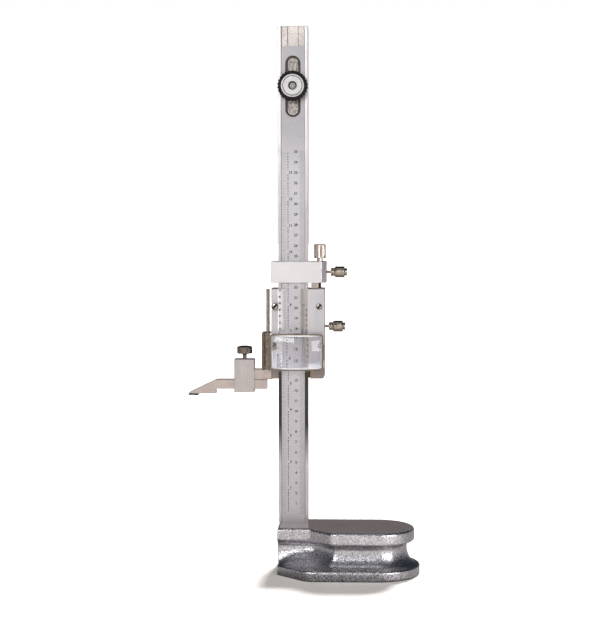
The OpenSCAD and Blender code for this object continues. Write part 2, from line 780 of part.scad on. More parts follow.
module magnifier_bracket() {
    lug_low = bracket_bottom;
    lug_high = bracket_top - sheet_t;
    hem_front = frame_back - frame_d / 2;
    color("tan") difference() {
        union() {
            block([bracket_left, web_front - sheet_t, bracket_bottom], [frame_left, web_front, bracket_top]);
            for (z = [lug_low, lug_high])
                block([bracket_left, web_front - sheet_t, z], [lug_right, lug_back, z + sheet_t]);
            for (x = [bracket_left, bracket_left + sheet_t + hem_gap])
                block([x, hem_front, bracket_bottom], [x + sheet_t, web_front, bracket_top]);
            block([frame_left - sheet_t, frame_front, bracket_bottom],
                [frame_left, web_front, bracket_top - sheet_t]);
        }
        translate([rod_x, rod_y, bracket_bottom - overrun])
            cylinder(r = rod_r + run_fit, h = bracket_top - bracket_bottom + 2 * overrun);
    }
}

// The strip bent round the lens, with its folded tab above and its bent tab at the right
module magnifier_frame() {
    frame_right = frame_left + frame_w;
    frame_top = frame_bottom + frame_h;
    middle_x = frame_left + frame_w / 2;
    middle_z = frame_bottom + frame_h / 2;
    color("tan") {
        facing(frame_left, frame_back, frame_bottom) linear_extrude(frame_d) difference() {
            round_rectangle(frame_w, frame_h, frame_r);
            translate([frame_t, frame_t])
                round_rectangle(frame_w - 2 * frame_t, frame_h - 2 * frame_t, frame_r - frame_t);
        }
        block([middle_x - tab_w / 2, frame_front, frame_top - frame_t],
            [middle_x + tab_w / 2, frame_front + frame_t, frame_top + frame_t / 2]);
        block([frame_right - frame_t, frame_front, middle_z - tab_h / 2],
            [frame_right + frame_t, frame_front + frame_t, middle_z + tab_h / 2]);
    }
}

module magnifier_lens() {
    inner_w = frame_w - 2 * frame_t - 2 * lens_fit;
    inner_h = frame_h - 2 * frame_t - 2 * lens_fit;
    color("lightcyan", 0.4) intersection() {
        facing(frame_left + frame_t + lens_fit, lens_back, frame_bottom + frame_t + lens_fit)
            linear_extrude(lens_t) round_rectangle(inner_w, inner_h, frame_r - frame_t);
        translate([frame_left + frame_w / 2, lens_back - lens_t + lens_r, frame_bottom + frame_h / 2])
            sphere(lens_r);
    }
}

// A leaf spring between the bracket's web and the rod
module magnifier_spring() {
    leaf_t = 0.4;
    leaf_back = rod_y - rod_r - slide_fit;
    leaf_z = bracket_bottom + frame_h / 2;
    leaf_l = frame_h / 4;
    color("silver") translate([rod_x - rod_r, 0, leaf_z]) rotate([90, 0, 90]) linear_extrude(2 * rod_r)
        polygon([[web_front, -leaf_l], [web_front + leaf_t, -leaf_l], [leaf_back, -leaf_t],
            [leaf_back, leaf_t], [web_front + leaf_t, leaf_l], [web_front, leaf_l],
            [leaf_back - leaf_t, leaf_t], [leaf_back - leaf_t, -leaf_t]]);
}

module scriber_clamp_box() {
    color("lavender") difference() {
        block([clamp_left, -clamp_d / 2, clamp_bottom], [clamp_left + clamp_w, clamp_d / 2, clamp_top]);
        block([clamp_left - overrun, -jaw_d / 2 - slide_fit, window_bottom],
            [clamp_left + clamp_w + overrun, jaw_d / 2 + slide_fit, window_top]);
        translate([clamp_x, 0, window_top - overrun])
            cylinder(r = clamp_screw_r + run_fit, h = clamp_top_t + 2 * overrun);
    }
}

module scriber_clamp_screw() {
    color("darkslategray") translate([clamp_x, 0, window_top]) {
        cylinder(r = clamp_screw_r, h = clamp_head_z - window_top);
        translate([0, 0, clamp_head_z - window_top]) cylinder(d = clamp_head_d, h = clamp_head_h);
    }
}

module scriber_bar() {
    tip_right = nose_left + tip_l;
    color("lightgray") facing(0, jaw_d / 2, 0) linear_extrude(jaw_d)
        polygon([[-shank_start, shank_top], [shank_left, shank_top], [nose_left, nose_bottom + tip_t / 2],
            [nose_left, nose_bottom], [tip_right, nose_bottom], [shank_left, nose_bottom],
            [shank_left, shank_bottom], [-shank_start, shank_bottom]]);
}

module scriber_tip() {
    color("black") facing(0, jaw_d / 2, 0) linear_extrude(jaw_d)
        polygon([[nose_left - tip_t / 2, nose_bottom - tip_t], [nose_left + tip_l, nose_bottom - tip_t],
            [nose_left + tip_l, nose_bottom], [nose_left, nose_bottom]]);
}

base_casting();
column();
column_screws();
main_scale();
scale_clamp_knob();
scale_clamp_cap();
scale_clamp_stud();
scale_clamp_washer();
carrier_block();
carrier_gib();
carrier_lock_screw();
fine_screw();
fine_screw_ring();
slider_body();
slider_gib();
gib_set_screws();
guide_tongue();
vernier_plate_inch();
vernier_plate_metric();
left_plate_screws();
right_plate_screws();
slider_lock_screw();
magnifier_rod();
magnifier_bracket();
magnifier_frame();
magnifier_lens();
magnifier_spring();
scriber_clamp_box();
scriber_clamp_screw();
scriber_bar();
scriber_tip();
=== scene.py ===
import json
import math

import bmesh
import bpy
from bpy.props import FloatProperty, FloatVectorProperty, PointerProperty
from mathutils import Matrix, Vector, noise


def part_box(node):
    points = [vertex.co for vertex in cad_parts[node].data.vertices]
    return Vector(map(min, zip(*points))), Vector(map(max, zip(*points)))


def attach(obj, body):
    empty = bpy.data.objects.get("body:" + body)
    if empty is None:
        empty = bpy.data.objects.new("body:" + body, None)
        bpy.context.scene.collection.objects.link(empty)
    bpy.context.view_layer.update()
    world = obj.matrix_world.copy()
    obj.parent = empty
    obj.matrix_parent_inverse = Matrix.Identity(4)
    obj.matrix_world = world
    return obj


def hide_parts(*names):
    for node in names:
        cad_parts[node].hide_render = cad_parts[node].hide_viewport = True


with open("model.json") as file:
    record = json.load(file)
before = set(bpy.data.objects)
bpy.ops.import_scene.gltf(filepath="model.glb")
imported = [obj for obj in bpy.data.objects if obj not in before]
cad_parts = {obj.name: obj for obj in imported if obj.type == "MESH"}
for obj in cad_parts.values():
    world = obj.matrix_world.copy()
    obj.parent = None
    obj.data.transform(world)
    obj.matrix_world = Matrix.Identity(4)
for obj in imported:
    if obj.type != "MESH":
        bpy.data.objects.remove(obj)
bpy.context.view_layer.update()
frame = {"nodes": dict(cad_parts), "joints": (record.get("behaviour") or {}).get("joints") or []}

bl_info = {
    "name": "Vernier Height Gauge",
    "version": (1, 0, 0),
    "blender": (4, 5, 0),
    "location": "View3D > Sidebar > Height Gauge",
    "description": "Dresses the packed height gauge with its shapes, engraving and finishes",
    "category": "Object",
}

MM = 0.001
INCH = 25.4 * MM
FRONT = Matrix.Rotation(math.radians(90), 4, "X")
TO_RIGHT = Matrix.Rotation(math.radians(90), 4, "Y")


def linear(code):
    """Turns an sRGB hex value into the linear colour that a shader takes."""
    channels = [int(code[i:i + 2], 16) / 255 for i in (0, 2, 4)]
    curve = [c / 12.92 if c <= 0.04045 else ((c + 0.055) / 1.055) ** 2.4 for c in channels]
    return (*curve, 1.0)


def corners(node):
    """Lowest and highest corner of a node's box."""
    low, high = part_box(node)
    return Vector(low), Vector(high)


def centre_of(node):
    """Middle of a node's box."""
    low, high = corners(node)
    return (low + high) / 2


def length_property(name, description, millimetres):
    """A length that a user can change, kept in metres."""
    return FloatProperty(name=name, description=description, default=millimetres * MM, min=0.0,
                         precision=5, unit="LENGTH")


def colour_property(name, description, code):
    """A colour that a user can change."""
    return FloatVectorProperty(name=name, description=description, default=linear(code), size=4,
                               min=0.0, max=1.0, subtype="COLOR")


class HeightGaugeSizes(bpy.types.PropertyGroup):
    """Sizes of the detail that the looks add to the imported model"""

    edge_round: length_property("Block edges", "Rounding of the slider's and carrier's edges", 0.35)
    fine_round: length_property("Fine edges", "Rounding of plates, strips and screw slots", 0.16)
    column_round: length_property("Column edges", "Rounding of the column's edges", 0.25)
    voxel: length_property("Casting grain", "Grid on which the casting's skin is rebuilt", 0.75)
    dimple: length_property("Hammer dimple", "Width of one dimple of the hammered enamel", 1.7)
    dimple_depth: length_property("Dimple depth", "Depth of the hammered enamel's dimples", 0.12)
    knurl_pitch: length_property("Knurl pitch", "Distance between two ridges of a knurl", 1.15)
    knurl_depth: length_property("Knurl depth", "Depth of the knurls", 0.32)
    thread_pitch: length_property("Thread pitch", "Pitch of the fine screw's thread", 0.5)
    thread_depth: length_property("Thread depth", "Depth of the fine screw's thread", 0.14)
    mark_width: length_property("Mark width", "Width of an engraved line", 0.15)
    mark_sunk: length_property("Mark depth", "How deep the filled marks reach into the metal", 0.05)
    mark_proud: length_property("Mark relief", "How far the filling stands out", 0.012)
    numeral: length_property("Numeral height", "Height of the large numerals", 2.5)
    small_numeral: length_property("Small numeral height", "Height of the tenth numerals", 1.7)


class HeightGaugeColours(bpy.types.PropertyGroup):
    """Colours of the finishes"""

    hammered: colour_property("Hammered enamel", "Cast faces of the base", "cac7cc")
    # The smooth top's dark brown-grey is painted shade.
    smooth: colour_property("Smooth enamel", "Flat top of the base", "5d5453")
    ground: colour_property("Ground steel", "Column's sides and top", "c8c3c5")
    # The rails take painted shade below the slider and painted light near the top.
    rail: colour_property("Rail steel", "Column's front rails", "c8c3c5")
    channel: colour_property("Milled channel", "Floor of the column's channel", "d2cac6")
    chrome: colour_property("Satin chrome", "Carrier", "e0dddf")
    scale: colour_property("Matt chrome", "Main scale", "c4c1c5")
    plate: colour_property("Fine chrome", "Vernier plates", "cac7cb")
    bright: colour_property("Bright chrome", "Left bevel", "f4f0f2")
    greased: colour_property("Greased channel", "Channel behind the scale", "a09a96")
    box: colour_property("Brushed steel", "Clamp box", "bfb8b7")
    bevel: colour_property("Bevel steel", "Right bevel", "b7b0ae")
    moulded: colour_property("Moulded black", "Ring of the clamp knob", "120f0c")
    turned: colour_property("Turned aluminium", "Cap and stud of the clamp knob", "c9c6c7")
    nickel: colour_property("Nickel plate", "Fine screw, tongue and plate screws", "c8bdb3")
    rod: colour_property("Bright nickel", "Magnifier's rod", "e6dcd2")
    screw: colour_property("Screw steel", "Lock screws", "a69c92")
    strip: colour_property("Smoked nickel", "Magnifier's bracket and frame", "857a6f")
    oxide: colour_property("Black oxide", "Set screws and washer; painted shade in joints, grooves and slots", "4a4542")
    gunmetal: colour_property("Gunmetal", "Scriber clamp's screw", "736a62")
    plain: colour_property("Plain steel", "Slider's body", "8f857e")
    tool: colour_property("Ground tool steel", "Jaw side of the scriber", "c2b6b0")
    carbide: colour_property("Hard metal", "Scriber's tip", "2a2828")
    # The channel behind the scale is darkened as painted shade.
    bronze: colour_property("Oiled bronze", "Gibs", "5b4836")
    filling: colour_property("Engraving black", "Filled lines and numerals", "26242a")
    frosted: colour_property("Ground glass", "Edge of the lens", "f6f5f6")
    # The glass's grey tint is painted shade under the lens.
    glass: colour_property("Lens glass", "Clear block of the magnifier", "f0f0f3")


def add_node(tree, kind, values=None, links=None, **settings):
    """Adds a shader node with its settings, socket values and links."""
    node = tree.nodes.new("ShaderNode" + kind)
    for name, value in settings.items():
        setattr(node, name, value)
    for socket, value in (values or {}).items():
        node.inputs[socket].default_value = value
    for socket, source in (links or {}).items():
        tree.links.new(source, node.inputs[socket])
    return node


def pattern_coordinates(tree, grain, stretch):
    """Object coordinates counted in grains, drawn out along the grain's direction."""
    place = add_node(tree, "TexCoord")
    scale = [1 / (grain * MM * part) for part in stretch]
    return add_node(tree, "Mapping", {"Scale": scale},
                    {"Vector": place.outputs["Object"]}).outputs["Vector"]


# The sockets of a range node, and where most of a noise's values lie.
RANGE = ("From Min", "From Max", "To Min", "To Max")
NOISE = (0.3, 0.7)


def surface(name, colour, roughness, grain, upright=1, level=1, metallic=1.0, tone=0.12,
            gloss=0.08, relief=0.0, cloud=0.06, cloud_size=18, stops=(), sockets=()):
    """A finish with a fine grain, drawn out upright or level, over slow clouds of tone.

    Its sizes are in millimetres.
    """
    material = bpy.data.materials.new(name)
    material.use_nodes = True
    tree = material.node_tree
    shader = tree.nodes["Principled BSDF"]
    shader.inputs["Metallic"].default_value = metallic
    for socket, value in sockets:
        shader.inputs[socket].default_value = value
    if not grain:
        shader.inputs["Base Color"].default_value = colour
        shader.inputs["Roughness"].default_value = roughness
        return material
    grains = add_node(tree, "TexNoise", {"Scale": 1.0, "Detail": 3.0, "Roughness": 0.6},
                      {"Vector": pattern_coordinates(tree, grain, (level, 1, upright))})
    clouds = add_node(tree, "TexNoise", {"Scale": 1.0, "Detail": 2.0},
                      {"Vector": pattern_coordinates(tree, cloud_size, (1, 1, 1))})
    sheen = (max(0.02, roughness - gloss), min(1.0, roughness + gloss))
    ranges = ((grains, (1 - tone, 1 + tone)), (clouds, (1 - cloud, 1 + cloud)), (grains, sheen))
    fine, broad, dull = (add_node(tree, "MapRange", dict(zip(RANGE, NOISE + ends)),
                                  {"Value": source.outputs["Fac"]}) for source, ends in ranges)
    both = add_node(tree, "Math", links={0: fine.outputs[0], 1: broad.outputs[0]},
                    operation="MULTIPLY")
    tint = add_node(tree, "VectorMath", {0: colour[:3]}, operation="SCALE")
    tree.links.new(both.outputs[0], tint.inputs["Scale"])
    tree.links.new(tint.outputs[0], shader.inputs["Base Color"])
    tree.links.new(dull.outputs[0], shader.inputs["Roughness"])
    if relief:
        bump = add_node(tree, "Bump", {"Strength": 1.0, "Distance": relief * MM},
                        {"Height": grains.outputs["Fac"]})
        tree.links.new(bump.outputs[0], shader.inputs["Normal"])
    if stops:
        shade_by_height(tree, stops)
    return material


def shade_by_height(tree, stops):
    """Changes a finish's brightness by height: pairs of millimetres and brightness."""
    shader = tree.nodes["Principled BSDF"]
    plain = shader.inputs["Base Color"].links[0].from_socket
    place = add_node(tree, "TexCoord")
    split = add_node(tree, "SeparateXYZ", links={0: place.outputs["Object"]})
    low, high = stops[0][0], stops[-1][0]
    climb = add_node(tree, "MapRange", {"From Min": low * MM, "From Max": high * MM},
                     {"Value": split.outputs["Z"]})
    share = add_node(tree, "ValToRGB", links={"Fac": climb.outputs[0]})
    marks = share.color_ramp.elements
    while len(marks) < len(stops):
        marks.new(0.5)
    for mark, (height, light) in zip(marks, stops):
        mark.position = (height - low) / (high - low)
        mark.color = (light, light, light, 1.0)
    dulled = add_node(tree, "VectorMath", links={0: plain, 1: share.outputs["Color"]},
                      operation="MULTIPLY")
    tree.links.new(dulled.outputs[0], shader.inputs["Base Color"])


# Painted light and shade on the base by height: brighter on the flange's front, darker in the hollow
# just above it.
BASE_PAINTED_SHADE_AND_LIGHT = ((2, 0.95), (9, 1.1), (10.5, 0.8), (14, 0.8), (20, 1.0))
# Painted shade on the rails below the slider's usual place, and painted light towards their top.
RAIL_PAINTED_SHADE_AND_LIGHT = ((100, 1.0), (140, 0.1), (190, 0.1), (215, 1.0), (330, 1.0), (410, 1.35), (523, 1.4))
SCALE_SHADE = ((385, 1.0), (425, 0.74))

# Each finish: material, roughness, grain in millimetres and what else differs. Fine grain is
# drawn a little coarser than life, so that it shows.
FINISHES = {
    # Hammered enamel on cast iron: metallic flakes in small dimples, so it glints in specks. Its
    # brightness by height is painted light on the flange's front and painted shade in the hollow above
    # the flange.
    "hammered": ("hammered enamel", 0.28, 1.1,
                 dict(tone=0.56, relief=0.16, cloud=0.08, stops=BASE_PAINTED_SHADE_AND_LIGHT)),
    # Enamel rubbed flat: soft sheen with faint clouds. Its dark brown-grey is painted shade on the top,
    # which faces the dark ceiling.
    "smooth": ("smooth enamel with painted shade", 0.16, 1.5,
               dict(metallic=0.0, tone=0.05, gloss=0.03, relief=0.006, cloud=0.07)),
    # Ground steel: fine lines along the column, with a dull shine.
    "ground": ("ground column steel", 0.34, 0.35, dict(upright=60, tone=0.08, relief=0.006)),
    # The ground rails in front: painted shade below the slider's usual place, and painted light towards
    # the top.
    "rail": ("rail steel with painted shade and light", 0.34, 0.35,
             dict(upright=60, tone=0.08, relief=0.006, stops=RAIL_PAINTED_SHADE_AND_LIGHT)),
    # Channel left from the mill: coarse, uneven and without shine.
    "channel": ("milled channel steel", 0.5, 1.0,
                dict(upright=1.4, tone=0.36, gloss=0.1, relief=0.12, cloud=0.1)),
    # The same channel behind the scale: darker with painted shade, and blotchy.
    "greased": ("channel steel in painted shade", 0.5, 1.7,
                dict(upright=1.4, tone=0.8, gloss=0.1, relief=0.12, cloud=0.14, cloud_size=5)),
    # Satin chrome plate: very fine even specks and no lines, so it looks nearly white.
    "chrome": ("satin chrome plate", 0.38, 0.6, dict(tone=0.05, gloss=0.06, relief=0.01, cloud=0.03)),
    # Matt chrome of the scale, blasted so that its lines read well, and darker above them.
    "scale": ("matt scale chrome", 0.44, 0.9,
              dict(tone=0.1, gloss=0.05, relief=0.012, cloud=0.03, stops=SCALE_SHADE)),
    # Chrome over finely ground plates: faint upright lines and a soft shine.
    "plate": ("fine plate chrome", 0.34, 0.5,
              dict(upright=30, tone=0.05, gloss=0.06, relief=0.006, cloud=0.03)),
    # Steel brushed from top to bottom: clear upright lines.
    "box": ("brushed box steel", 0.34, 0.6, dict(upright=60, relief=0.008)),
    # Right bevel of the plate: painted shade, a shade darker than the face beside it.
    "bevel": ("bevel steel with painted shade", 0.3, 0.5,
              dict(upright=30, tone=0.06, gloss=0.06, relief=0.005, cloud=0.03)),
    # Chrome on the left bevel: a painted highlight, so it is brighter than the plate.
    "bright": ("bevel chrome with painted highlight", 0.24, 0.5,
               dict(upright=30, tone=0.04, gloss=0.05, relief=0.005, cloud=0.03)),
    # Ground edge of the lens: white and matt.
    "frosted": ("ground glass edge", 0.5, 0.4, dict(metallic=0.0, tone=0.03, relief=0.005)),
    # Moulded phenolic: black with a soft sheen.
    "moulded": ("moulded black phenolic", 0.46, 0.5,
                dict(metallic=0.0, tone=0.15, gloss=0.07, relief=0.01,
                     sockets=[("Specular IOR Level", 0.2)])),
    # Turned aluminium: bright and clean.
    "turned": ("turned aluminium", 0.3, 0.4, dict(tone=0.05, gloss=0.06, relief=0.005)),
    # Nickel plate: warm and mirror-like, slightly uneven over the knurls.
    "nickel": ("nickel plate", 0.18, 1.2,
               dict(tone=0.1, gloss=0.06, relief=0.006, cloud=0.08, cloud_size=6)),
    # Drawn and plated rod: a mirror with faint lines along it.
    "rod": ("bright rod nickel", 0.12, 0.5, dict(upright=40, tone=0.05, gloss=0.03)),
    # Knurled steel with a thin plating: darker, with bright worn ridges.
    "screw": ("knurled screw steel", 0.18, 0.9,
              dict(tone=0.16, gloss=0.06, relief=0.006, cloud=0.1, cloud_size=5)),
    # Plated sheet with an olive tarnish: dark, smooth and shiny.
    "strip": ("smoked strip nickel", 0.22, 1.2, dict(tone=0.22, relief=0.02, cloud=0.25, cloud_size=4)),
    # Blued steel rubbed bare in places: mottled grey-brown.
    "gunmetal": ("rubbed gunmetal", 0.34, 1.2,
                 dict(tone=0.34, gloss=0.1, relief=0.01, cloud=0.16, cloud_size=4)),
    # Blackened steel: dark, mottled, with a little bare metal shining through. It also serves as
    # painted shade in joints, grooves, recesses and slots.
    "oxide": ("black oxide steel and painted shade", 0.36, 0.8,
              dict(tone=0.3, gloss=0.1, relief=0.01, cloud=0.2, cloud_size=5)),
    # Ground slider steel with upright lines; its dark brown is painted shade under the magnifier.
    "plain": ("slider steel with painted shade", 0.4, 0.4, dict(upright=40, relief=0.008)),
    # Tool steel ground along the jaw: fine level lines.
    "tool": ("ground tool steel", 0.32, 0.35, dict(level=50, tone=0.08, relief=0.006)),
    # Ground hard metal: nearly black, dull.
    "carbide": ("ground hard metal", 0.4, 0.4, dict(tone=0.15, relief=0.004)),
    # Bronze strip under an old film of oil: dark, with a soft shine.
    "bronze": ("oiled bronze", 0.4, 0.5, dict(upright=20, tone=0.1)),
    # Wax filling of the engraved lines: matt.
    "filling": ("engraving black", 0.6, 0.5, dict(metallic=0.0, tone=0.1)),
    # Polished glass: even, with a mirror's gloss; its faint grey tint is painted shade on what lies
    # under the lens.
    "glass": ("polished lens glass", 0.02, 0,
              dict(metallic=0.0, sockets=[("IOR", 1.5), ("Transmission Weight", 1.0)])),
}


def finish(kind):
    """The material of one finish, made once and then shared."""
    name, roughness, grain, settings = FINISHES[kind]
    made = bpy.data.materials.get(name)
    colour = getattr(bpy.context.scene.gauge_colours, kind)
    return made or surface(name, colour, roughness, grain, **settings)


def mesh_from(bm, name):
    """The worked mesh as a mesh of its own."""
    mesh = bpy.data.meshes.new(name)
    bm.to_mesh(mesh)
    bm.free()
    return mesh


def linked(name, data):
    """A new object in the scene."""
    item = bpy.data.objects.new(name, data)
    bpy.context.scene.collection.objects.link(item)
    return item


def cad_copy(node):
    """A merged copy of a node's mesh, with its flat faces whole, to be worked on."""
    bm = bmesh.new()
    bm.from_mesh(frame["nodes"][node].data)
    bmesh.ops.remove_doubles(bm, verts=bm.verts, dist=0.002 * MM)
    bmesh.ops.dissolve_limit(bm, angle_limit=math.radians(0.5), verts=bm.verts, edges=bm.edges)
    bmesh.ops.recalc_face_normals(bm, faces=bm.faces)
    return bm


def soften(bm, width, sharp=30, segments=2):
    """Rounds every edge that is sharper than an angle in degrees."""
    edges = [edge for edge in bm.edges
             if edge.is_manifold and edge.calc_face_angle() > math.radians(sharp)]
    bmesh.ops.bevel(bm, geom=edges, offset=width, affect="EDGES", segments=segments,
                    profile=0.5, material=-1)


def piece(bm, name, body, kinds, replaced=(), flat_angle=40, place=Matrix()):
    """Makes the worked mesh an object that rides on a body and wears its finishes."""
    bmesh.ops.transform(bm, verts=bm.verts, matrix=place)
    mesh = mesh_from(bm, name)
    for kind in kinds:
        mesh.materials.append(finish(kind))
    mesh.shade_smooth()
    mesh.set_sharp_from_angle(angle=math.radians(flat_angle))
    item = linked(name, mesh)
    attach(item, body)
    if replaced:
        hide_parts(*replaced)
    return item


def flatten_shading(item):
    """Keeps flat faces evenly lit beside their rounded edges."""
    modifier = item.modifiers.new("even faces", "WEIGHTED_NORMAL")
    modifier.keep_sharp = True
    modifier.weight = 50


def dress(node, kind):
    """Gives a CAD node its finish."""
    for slot in frame["nodes"][node].material_slots:
        slot.material = finish(kind)


def worked_block(node, name, body, kind, width):
    """A node's own shape with rounded edges."""
    bm = cad_copy(node)
    soften(bm, width)
    flatten_shading(piece(bm, name, body, [kind], [node]))


def turned(profile, steps):
    """Spins a profile of (radius, height) points about the upright axis, closed at both ends."""
    bm = bmesh.new()
    line = [bm.verts.new((radius, 0, height)) for radius, height in profile]
    edges = [bm.edges.new(pair) for pair in zip(line, line[1:])]
    bmesh.ops.spin(bm, geom=line + edges, cent=(0, 0, 0), axis=(0, 0, 1), angle=math.tau,
                   steps=steps, use_merge=True)
    bmesh.ops.remove_doubles(bm, verts=bm.verts, dist=0.001 * MM)
    bmesh.ops.recalc_face_normals(bm, faces=bm.faces)
    return bm


def rows(start, end, step):
    """Heights from one to another in even rows."""
    count = max(1, round((end - start) / step))
    return [start + (end - start) * i / count for i in range(count + 1)]


def ridge(turn):
    """Height of a triangle wave, from 0 in the groove to 1 on the ridge."""
    return 1 - 2 * abs(turn - math.floor(turn) - 0.5)


def cut_knurl(bm, radius, low, high, sizes, crossed):
    """Presses straight or crossed ridges into the part of a turned shape near its full radius."""
    count = round(math.tau * radius / sizes.knurl_pitch)
    lead = math.tau * radius / count
    for vert in bm.verts:
        reach = vert.co.xy.length
        if reach < radius * 0.97 or not low < vert.co.z < high:
            continue
        turn = math.atan2(vert.co.y, vert.co.x) / math.tau * count
        climb = vert.co.z / lead if crossed else 0
        cut = min(ridge(turn + climb), ridge(turn - climb)) if crossed else ridge(turn)
        share = 1 - sizes.knurl_depth * (1 - cut) / reach
        vert.co.xy *= share


def cut_thread(bm, radius, low, high, sizes):
    """Presses a helical thread into a turned shaft."""
    for vert in bm.verts:
        reach = vert.co.xy.length
        if abs(reach - radius) > 0.02 * MM or not low < vert.co.z < high:
            continue
        turn = vert.co.z / sizes.thread_pitch - math.atan2(vert.co.y, vert.co.x) / math.tau
        share = 1 - sizes.thread_depth * (1 - ridge(turn)) / reach
        vert.co.xy *= share


def rounded_rim(radius, low, high, rim):
    """Profile of a disc's side with rounded rims, from its lower face to its upper one."""
    arcs = [math.radians(a) for a in (0, 30, 60, 90)]
    lower = [(radius - rim * (1 - math.sin(a)), low + rim * (1 - math.cos(a))) for a in arcs]
    upper = [(radius - rim * (1 - math.cos(a)), high - rim * (1 - math.sin(a))) for a in arcs]
    return lower, upper


def knurled_side(radius, low, high, rim, step):
    """Profile of a knurled head's side, with rows close enough for its ridges."""
    lower, upper = rounded_rim(radius, low, high, rim)
    middle = [(radius, z) for z in rows(low + rim, high - rim, step)[1:-1]]
    return lower + middle + upper


def modified(bm, kind, **settings):
    """Applies one modifier to a worked mesh."""
    mesh = mesh_from(bm, "rough shape")
    rough = linked("rough shape", mesh)
    modifier = rough.modifiers.new("work", kind)
    for name, value in settings.items():
        setattr(modifier, name, value)
    shaped = rough.evaluated_get(bpy.context.evaluated_depsgraph_get())
    result = bmesh.new()
    result.from_mesh(shaped.to_mesh())
    shaped.to_mesh_clear()
    bpy.data.objects.remove(rough)
    bpy.data.meshes.remove(mesh)
    return result


class CastBase(bpy.types.Operator):
    """Rebuild the casting's skin with hammered enamel and a smooth top"""

    bl_idname = "height_gauge.cast_base"
    bl_label = "Cast Base"
    PLAIN_TOP = 0.05 * MM
    PLAIN_FOOT = 0.4 * MM
    RIM = 0.7 * MM
    LEVEL = 0.85
    # The mean distance to a dimple's middle, in dimples, so that the skin keeps its size.
    MEAN_REACH = 0.6
    POCKET_ROOM = Vector((0.35, 0.4, 1.5)) * MM

    def execute(self, context):
        sizes = context.scene.gauge_sizes
        low, high = corners("base_casting")
        bm = modified(cad_copy("base_casting"), "REMESH", mode="VOXEL", voxel_size=sizes.voxel)
        bmesh.ops.smooth_vert(bm, verts=bm.verts, factor=0.3, use_axis_x=True, use_axis_y=True,
                              use_axis_z=True)
        bm.normal_update()
        normals = {vert: vert.normal.copy() for vert in bm.verts}
        for vert in bm.verts:
            if not low.z + self.PLAIN_FOOT <= vert.co.z <= high.z - self.PLAIN_TOP:
                continue
            nearest = noise.voronoi(vert.co / sizes.dimple)[0]
            swell = noise.noise(vert.co / (sizes.dimple * 4))
            lift = nearest[0] - self.MEAN_REACH + 0.5 * swell
            vert.co += normals[vert] * sizes.dimple_depth * lift
        # The flat top takes the smooth enamel, whose dark colour is painted shade.
        for face in bm.faces:
            near_top = face.calc_center_median().z > high.z - self.RIM
            face.material_index = int(near_top and face.normal.z > self.LEVEL)
        piece(self.pocket_cut(bm), "cast_base", "base", ["hammered", "smooth"],
              ["base_casting"], 60)
        dress("column_screws", "oxide")
        return {"FINISHED"}

    def pocket_cut(self, bm):
        """Mills the pocket clean again, down to the scale's lowest place."""
        low, high = corners("main_scale")
        travel = next(joint["range_m"] for joint in frame["joints"]
                      if joint["name"] == "scale_slide")
        room = self.POCKET_ROOM
        low = low - room + Vector((0, 0, travel[0]))
        high = Vector((high.x, high.y, corners("base_casting")[1].z)) + room
        box = bmesh.new()
        bmesh.ops.create_cube(box, size=1.0, matrix=Matrix.Translation((low + high) / 2)
                              @ Matrix.Diagonal((*(high - low), 1.0)))
        mesh = mesh_from(box, "pocket")
        cutter = linked("pocket", mesh)
        milled = modified(bm, "BOOLEAN", operation="DIFFERENCE", solver="EXACT", object=cutter)
        bpy.data.objects.remove(cutter)
        bpy.data.meshes.remove(mesh)
        return milled


class Column(bpy.types.Operator):
    """Round the column's edges and leave its channel rough"""

    bl_idname = "height_gauge.column"
    bl_label = "Column"
    FLOOR_DEPTH = 0.4 * MM
    WALL_DEPTH = 2.2 * MM
    WALL_PLACE = 5.05 * MM
    JOINT_PLACE = 11.25 * MM
    NEAR = 0.3 * MM

    def execute(self, context):
        bm = cad_copy("column")
        soften(bm, context.scene.gauge_sizes.column_round)
        front = corners("column")[0].y
        covered = corners("main_scale")[1].z
        ground, channel, oxide, greased, rail = range(5)
        bmesh.ops.bisect_plane(bm, geom=bm.verts[:] + bm.edges[:] + bm.faces[:],
                               plane_co=(0, 0, covered), plane_no=(0, 0, 1))
        for face in bm.faces:
            centre = face.calc_center_median()
            aside = abs(centre.x)
            sunk = centre.y > front + self.FLOOR_DEPTH and face.normal.y < -0.5
            wall = (front + self.WALL_DEPTH < centre.y < 0
                    and abs(aside - self.WALL_PLACE) < self.NEAR)
            joint = abs(aside - self.JOINT_PLACE) < self.NEAR and abs(face.normal.x) > 0.2
            face.material_index = ground
            # Painted shade: the top end, the joints beside the rails and the relief's walls take the
            # dark finish.
            if face.normal.z > 0.3 or joint or wall:
                face.material_index = oxide
            elif sunk:
                # The channel behind the scale takes painted shade.
                face.material_index = greased if centre.z < covered else channel
            elif face.normal.y < -0.3 and centre.y < front + self.NEAR:
                face.material_index = rail
        flatten_shading(piece(bm, "column_bar", "base",
                              ["ground", "channel", "oxide", "greased", "rail"], ["column"]))
        return {"FINISHED"}


def engrave_lines(bm, place, sizes, lines):
    """Adds filled lines, thin slabs given by start, end and height on a surface."""
    thick = sizes.mark_sunk + sizes.mark_proud
    for start, end, height in lines:
        middle = ((start + end) / 2, height, sizes.mark_proud - thick / 2)
        size = (abs(end - start), sizes.mark_width, thick)
        bmesh.ops.create_cube(bm, size=1.0, matrix=place @ Matrix.Translation(middle)
                              @ Matrix.Diagonal((*size, 1.0)))


# Font size and added boldness for a numeral's height of 1.
FONT_SIZE = 1.38
FONT_WEIGHT = 0.05


